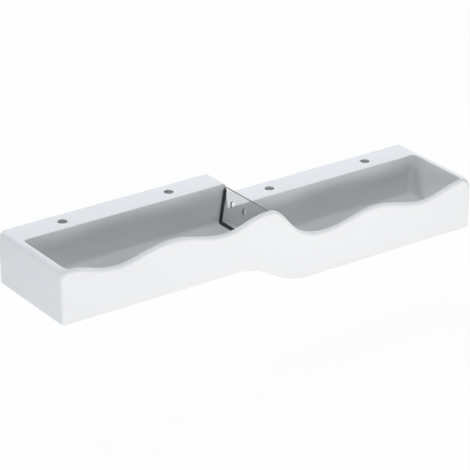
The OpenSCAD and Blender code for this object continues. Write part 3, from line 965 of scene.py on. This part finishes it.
class TROUGH_SINK_OT_ends(bpy.types.Operator):
    """Build the two rounded end walls"""

    bl_idname = "trough_sink.ends"
    bl_label = "End Walls"

    def execute(self, context):
        planes = Planes()
        mineral_piece("left_end", end_wall(planes, "upper"))
        mineral_piece("right_end", end_wall(planes, "lower"))
        return {"FINISHED"}


class TROUGH_SINK_OT_decks(bpy.types.Operator):
    """Build the two tap decks"""

    bl_idname = "trough_sink.decks"
    bl_label = "Tap Decks"

    def execute(self, context):
        planes = Planes()
        rim = planes.shape.end_rim
        mineral_piece("upper_deck", deck(
            planes, "upper", planes.left + rim, planes.step, planes.tap_xs[:2],
            [planes.step_round(planes.rims["upper"])]))
        mineral_piece("lower_deck", deck(
            planes, "lower", planes.step, planes.right - rim, planes.tap_xs[2:], []))
        return {"FINISHED"}


class TROUGH_SINK_OT_trays(bpy.types.Operator):
    """Build the two coved trays, the lower one with its recess for the waste"""

    bl_idname = "trough_sink.trays"
    bl_label = "Trays"

    def execute(self, context):
        planes = Planes()
        shape, floor = planes.shape, planes.floors["lower"]
        mineral_piece("upper_tray", tray(
            planes, "upper", [planes.step_round(planes.floors["upper"])]))
        waste_low, waste_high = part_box("waste_rosette")
        x, y = (waste_low.x + waste_high.x) / 2, (waste_low.y + waste_high.y) / 2
        cuts = []
        for width, depth in ((shape.recess_width, shape.recess),
                             (shape.waste_hole, shape.tray + OVERRUN)):
            cuts.append(("DIFFERENCE", lathe_mesh(
                x, y, [(width / 2, floor - depth), (width / 2, floor + OVERRUN)], HOLE_STEPS)))
        mineral_piece("lower_tray", tray(planes, "lower", cuts))
        return {"FINISHED"}


class TROUGH_SINK_OT_panels(bpy.types.Operator):
    """Build the step panel and the panels against the wall"""

    bl_idname = "trough_sink.panels"
    bl_label = "Panels"

    def execute(self, context):
        copied_pieces(["step_panel", "upper_back_panel", "lower_back_panel"], "mineral")
        return {"FINISHED"}


def dam_turn(planes):
    """Turns and moves a shape from the dam's own axes into its place."""
    foot = Vector((planes.step - planes.shape.pane_back, 0.0, planes.floors["upper"]))
    return Matrix.Translation(foot) @ Matrix.Rotation(planes.shape.pane_lean, 4, "Y")


def dam_slab(planes, thickness):
    """A leaning slab that reaches past the trough all round."""
    reach = -planes.front
    slab = block_mesh((-thickness / 2, -reach, -reach), (thickness / 2, reach, reach))
    slab.transform(dam_turn(planes))
    return slab


def dam_pane(planes, inset):
    """The mesh of the pane, and the middles of its overflow holes on the dam's own axes."""
    shape = planes.shape
    rim, floor = planes.rims["upper"], planes.floors["upper"]
    edge = inset + shape.play
    middle = (planes.inner + planes.deck - (rim - floor - shape.overflow_height)
              * math.tan(shape.back_lean)) / 2
    height = shape.overflow_height / math.cos(shape.pane_lean)
    bores = [Vector((0.0, middle + place * shape.overflow_pitch, height)) for place in (-1, 0, 1)]
    cuts = [("INTERSECT", planes.form("upper", edge, shape.cove - edge,
                                    rim - shape.pane_low - shape.pane_corner,
                                    shape.pane_corner))]
    for bore in bores:
        hole = loft_mesh([round_points((x, bore.y, bore.z), shape.overflow / 2, 0, HOLE_STEPS)
                          for x in (-shape.pane, shape.pane)])
        hole.transform(dam_turn(planes))
        cuts.append(("DIFFERENCE", hole))
    return worked(dam_slab(planes, shape.pane), *cuts), bores


# Cosine above which a face of the pane counts as lying along it
FACING = 0.9


def paint_pane(planes, piece, bores):
    """Gives the pane's faces its first finish, its edges the second, its bores the third; the
    second and third are painted shade.
    """
    turn = dam_turn(planes)
    across = turn.to_3x3() @ Vector((1, 0, 0))
    in_dam = turn.inverted()
    for face in piece.data.polygons:
        near = min((in_dam @ face.center - bore).length for bore in bores)
        if abs(face.normal.dot(across)) > FACING:
            face.material_index = 0
        elif near > planes.shape.overflow:
            face.material_index = 1
        else:
            face.material_index = 2


def dam_seal(planes, inset):
    """The rubber profile along the trough's form, with the groove for the pane."""
    shape, rim = planes.shape, planes.rims["upper"]
    groove = worked(
        dam_slab(planes, shape.pane + 2 * shape.play),
        ("INTERSECT", planes.form("upper", inset, shape.cove - inset)))
    above = block_mesh((cad_low.x, planes.front, rim - shape.seal_low),
                       (cad_high.x, 0.0, rim + shape.cove + FAR))
    return worked(
        dam_slab(planes, shape.seal_width), ("INTERSECT", planes.form("upper", 0.0, shape.cove)),
        ("DIFFERENCE", planes.form("upper", shape.seal_height, shape.cove - shape.seal_height)),
        ("DIFFERENCE", groove), ("DIFFERENCE", above))


class TROUGH_SINK_OT_dam(bpy.types.Operator):
    """Build the clear dam pane and the rubber seal that holds it"""

    bl_idname = "trough_sink.dam"
    bl_label = "Dam"

    def execute(self, context):
        planes = Planes()
        inset = planes.shape.seal_height - planes.shape.groove
        pane, bores = dam_pane(planes, inset)
        piece = finish_piece(["dam_pane"], pane, ["clear_pane", "pane_edge_painted_shade", "pane_bore_painted_shade"], "dam")
        paint_pane(planes, piece, bores)
        finish_piece(["dam_seal"], dam_seal(planes, inset), ["dark_rubber"])
        return {"FINISHED"}


class TROUGH_SINK_OT_waste(bpy.types.Operator):
    """Build the waste of the lower trough"""

    bl_idname = "trough_sink.waste"
    bl_label = "Waste"

    def execute(self, context):
        copied_pieces(["waste_rosette", "waste_screw", "waste_body"], "bright_metal")
        copied_pieces(["rosette_seal", "body_seal"], "dark_rubber")
        return {"FINISHED"}


def plate_mesh(low, high):
    """A fixing plate round its middle, with rounded corners and its face at Y = 0."""
    shape = bpy.context.scene.trough_sink_shape
    thick, height, corner = high.y - low.y, high.z - low.z, shape.plate_corner
    points = []
    for x in (-1, 1):
        for z in (-1, 1):
            for y, inset in ((0.0, shape.plate_bevel), (shape.plate_bevel, 0.0), (thick, 0.0)):
                points += round_points((x * (shape.plate_width / 2 - corner), y,
                                        z * (height / 2 - corner)),
                                       corner - inset, 1, PLATE_STEPS)
    holes = []
    for x, width in ((0.0, shape.fixing_hole), (-shape.screw_reach, shape.screw_hole),
                     (shape.screw_reach, shape.screw_hole)):
        holes.append(("DIFFERENCE", loft_mesh([
            round_points((x, y, 0.0), width / 2, 1, SCREW_STEPS)
            for y in (-OVERRUN, thick + OVERRUN)])))
    return worked(hull_mesh(points), *holes)


def screw_pair_mesh():
    """The two screws of a plate, with domed and slotted heads on the plate's face."""
    shape = bpy.context.scene.trough_sink_shape
    low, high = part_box("plate_screws")
    plate_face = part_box("fixing_plates")[0].y
    dome, dome_steps = plate_face - low.y, 7
    shaft, head = shape.screw_width / 2, shape.screw_head / 2
    outline = [(high.y - plate_face, shaft), (0.0, shaft)]
    for step in range(dome_steps):
        turn = QUARTER * step / dome_steps
        outline.append((-dome * math.sin(turn), head * math.cos(turn)))
    outline.append((-dome, shaft / 4))
    pair = bmesh.new()
    for x in (-shape.screw_reach, shape.screw_reach):
        screw = loft_mesh([round_points((x, y, 0.0), radius, 1, SCREW_STEPS)
                           for y, radius in outline])
        slot = block_mesh((x - shape.screw_head, -dome - OVERRUN, -shape.screw_slot / 2),
                          (x + shape.screw_head, -dome / 2, shape.screw_slot / 2))
        pair.from_mesh(worked(screw, ("DIFFERENCE", slot)))
    return mesh_of(pair)


def row_tree():
    """Geometry Nodes that set copies of a piece in a straight row."""
    net, value = new_tree("row_of_pieces", {
        "Piece": "NodeSocketObject", "Count": "NodeSocketInt", "First": "NodeSocketVector",
        "Step": "NodeSocketVector", "Material": "NodeSocketMaterial"})
    places = net.add("GeometryNodeMeshLine", {"mode": "OFFSET"}, {
        "Count": value["Count"], "Start Location": value["First"], "Offset": value["Step"]})
    model = net.add("GeometryNodeObjectInfo", {"transform_space": "ORIGINAL"},
                    {"Object": value["Piece"]}, "Geometry")
    copies = net.add("GeometryNodeInstanceOnPoints", None,
                     {"Points": places, "Instance": model})
    return ended_tree(net, copies, value["Material"])


class TROUGH_SINK_OT_fixings(bpy.types.Operator):
    """Build the plates and screws of the wall fixings"""

    bl_idname = "trough_sink.fixings"
    bl_label = "Wall Fixings"

    def execute(self, context):
        shape = context.scene.trough_sink_shape
        low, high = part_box("fixing_plates")
        spacing = shape.fixing_pitch
        count = round((high.x - low.x - shape.plate_width) / spacing) + 1
        first = Vector((low.x + shape.plate_width / 2, low.y, (low.z + high.z) / 2))
        tree = row_tree()
        for node, mesh in (("fixing_plates", plate_mesh(low, high)),
                           ("plate_screws", screw_pair_mesh())):
            model = new_piece(node + "_model", mesh)
            row = shaped_by_nodes(node + "_holder", tree, {
                "Piece": model, "Count": count, "First": first,
                "Step": Vector((spacing, 0.0, 0.0)), "Material": material_for("zinc")})
            bpy.data.objects.remove(model)
            finish_piece([node], row, ["zinc"])
        return {"FINISHED"}


# Stage

WHITE = (1.0, 1.0, 1.0)
PALE_BLUE = (0.97, 0.98, 1.0)
COOL_WHITE = (0.90, 0.945, 1.0)

# Width of the camera's sensor in millimetres, and its farthest sight in metres
SENSOR_WIDTH = 36.0
FARTHEST_SIGHT = 200.0


def aim(azimuth, elevation):
    """Right, up and back directions of a view."""
    right = Vector((math.cos(azimuth), math.sin(azimuth), 0.0))
    back = Vector((math.sin(azimuth) * math.cos(elevation),
                   -math.cos(azimuth) * math.cos(elevation), math.sin(elevation)))
    return right, back.cross(right), back


def place_camera(stage):
    """The camera of the photograph, aimed at a target and then moved across its view."""
    right, up, back = aim(stage.azimuth, stage.elevation)
    camera = bpy.data.objects.new("camera", bpy.data.cameras.new("camera"))
    bpy.context.scene.collection.objects.link(camera)
    target = Vector((0.0, -stage.target_depth, 0.0))
    place = target + back * stage.distance + right * stage.shift_right + up * stage.shift_up
    turn = Matrix((right, up, back)).transposed().to_4x4()
    camera.matrix_world = Matrix.Translation(place) @ turn
    camera.data.lens = stage.lens
    camera.data.sensor_width = SENSOR_WIDTH
    camera.data.clip_end = FARTHEST_SIGHT
    bpy.context.scene.camera = camera


def lay_floor(stage):
    """A pale floor that holds the sink's shadow and isn't seen from below."""
    material, net = new_material("pale_floor")
    patches = net.noise(scale=3.0)
    matt = net.add("ShaderNodeBsdfDiffuse", None,
                   {"Color": net.shaded(WHITE, patches, low=0.86, high=0.9)})
    white = net.add("ShaderNodeEmission", None, {"Color": opaque(WHITE), "Strength": 1.0})
    top = net.add("ShaderNodeMixShader", None,
                  {0: net.seen() * stage.floor_white, 1: matt, 2: white})
    underside = net.add("ShaderNodeNewGeometry", output="Backfacing")
    net.add("ShaderNodeOutputMaterial", None, {
        "Surface": net.add("ShaderNodeMixShader", None, {
            0: underside, 1: top, 2: net.add("ShaderNodeBsdfTransparent")})})
    half = stage.floor_size / 2
    corners = [(x * half, y * half, -stage.floor_drop)
               for x, y in ((-1, -1), (1, -1), (1, 1), (-1, 1))]
    mesh = bpy.data.meshes.new("floor")
    mesh.from_pydata(corners, [], [(0, 1, 2, 3)])
    mesh.materials.append(material)
    new_piece("floor", mesh)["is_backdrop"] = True


def hang_lamp(name, place, target, size, radiance, colour, mirrored=False):
    """A soft panel of even brightness, which the camera doesn't see directly."""
    data = bpy.data.lights.new(name, "AREA")
    data.shape = "RECTANGLE"
    data.size, data.size_y = size
    data.energy = radiance * math.pi * size[0] * size[1]
    data.color = colour
    lamp = bpy.data.objects.new(name, data)
    bpy.context.scene.collection.objects.link(lamp)
    back = (Vector(place) - Vector(target)).normalized()
    lamp.matrix_world = (Matrix.Translation(Vector(place))
                         @ back.to_track_quat("Z", "Y").to_matrix().to_4x4())
    lamp.visible_camera = False
    lamp.visible_glossy = mirrored


def on_sky(azimuth, elevation, distance):
    """A place seen from the sink: azimuth 0 is in front, and 90 degrees is at its right."""
    turn, lift = math.radians(azimuth), math.radians(elevation)
    return Vector((math.sin(turn) * math.cos(lift), -math.cos(turn) * math.cos(lift),
                   math.sin(lift))) * distance


def hang_lamps(stage):
    """Panels all round the sink. The two behind it are mirrored in its decks and rims."""
    middle = (0.0, cad_low.y / 2, 0.0)
    hang_lamp("overhead", place=(0.0, cad_low.y / 2, 6.0), target=middle, size=(3.9, 3.9),
              radiance=stage.overhead, colour=COOL_WHITE)
    hang_lamp("behind_right", place=on_sky(azimuth=135, elevation=18, distance=12.0),
              target=middle, size=(9.4, 3.1), radiance=stage.behind_right,
              colour=COOL_WHITE, mirrored=True)
    hang_lamp("behind", place=on_sky(azimuth=180, elevation=47, distance=10.0),
              target=middle, size=(5.0, 2.6), radiance=stage.behind,
              colour=COOL_WHITE, mirrored=True)
    for name, x, share in (("front_left", -2.2, 0.42), ("front_middle", 0.0, 0.92),
                           ("front_right", 2.2, 0.6)):
        hang_lamp(name, place=(x, -3.0, stage.front_height), target=(x, 0.0, 0.0),
                  size=(2.0, 0.9), radiance=stage.front * share, colour=WHITE)
    hang_lamp("left", place=(-3.5, -0.6, stage.front_height), target=(0.0, -0.6, 0.0),
              size=(2.0, 0.9), radiance=stage.left, colour=COOL_WHITE)


def light_world(stage):
    """Faint light from all round, and white for what the camera and mirrors see."""
    world = bpy.data.worlds.new("studio")
    world.use_nodes = True
    world.node_tree.nodes.clear()
    net = ShaderNet(world.node_tree)
    light = net.add("ShaderNodeBackground", None, {
        "Color": opaque(PALE_BLUE), "Strength": stage.fill})
    white = net.add("ShaderNodeBackground", None, {"Color": opaque(WHITE), "Strength": 1.0})
    net.add("ShaderNodeOutputWorld", None, {
        "Surface": net.add("ShaderNodeMixShader", None, {0: net.seen(), 1: light, 2: white})})
    bpy.context.scene.world = world


class TROUGH_SINK_OT_stage(bpy.types.Operator):
    """Set up the camera, the floor, the lamps and the world"""

    bl_idname = "trough_sink.stage"
    bl_label = "Stage"

    def execute(self, context):
        stage = context.scene.trough_sink_stage
        place_camera(stage)
        lay_floor(stage)
        hang_lamps(stage)
        light_world(stage)
        context.scene.view_settings.view_transform = "Standard"
        return {"FINISHED"}


OPERATORS = (
    TROUGH_SINK_OT_wave_front,
    TROUGH_SINK_OT_ends,
    TROUGH_SINK_OT_decks,
    TROUGH_SINK_OT_trays,
    TROUGH_SINK_OT_panels,
    TROUGH_SINK_OT_dam,
    TROUGH_SINK_OT_waste,
    TROUGH_SINK_OT_fixings,
    TROUGH_SINK_OT_stage,
)


class TROUGH_SINK_PT_pieces(bpy.types.Panel):
    """Lists the pieces, with the sizes and colours that they are made from"""

    bl_idname = "TROUGH_SINK_PT_pieces"
    bl_label = "Trough Sink"
    bl_space_type = "VIEW_3D"
    bl_region_type = "UI"
    bl_category = "Trough Sink"

    def draw(self, context):
        for operator in OPERATORS:
            self.layout.operator(operator.bl_idname, text=operator.bl_label)
        for owner in (context.scene.trough_sink_shape, context.scene.trough_sink_finish,
                      context.scene.trough_sink_stage):
            column = self.layout.column()
            for name in owner.__annotations__:
                column.prop(owner, name)


GROUPS = {
    "trough_sink_shape": TroughSinkShape,
    "trough_sink_finish": TroughSinkFinish,
    "trough_sink_stage": TroughSinkStage,
}


def register():
    for name, group in GROUPS.items():
        bpy.utils.register_class(group)
        setattr(bpy.types.Scene, name, PointerProperty(type=group))
    for one in OPERATORS + (TROUGH_SINK_PT_pieces,):
        bpy.utils.register_class(one)


def unregister():
    for one in reversed(OPERATORS + (TROUGH_SINK_PT_pieces,)):
        bpy.utils.unregister_class(one)
    for name, group in reversed(GROUPS.items()):
        delattr(bpy.types.Scene, name)
        bpy.utils.unregister_class(group)


def main():
    """Builds every piece and the stage."""
    register()
    for operator in OPERATORS:
        family, name = operator.bl_idname.split(".")
        getattr(getattr(bpy.ops, family), name)()


if __name__ == "__main__":
    main()
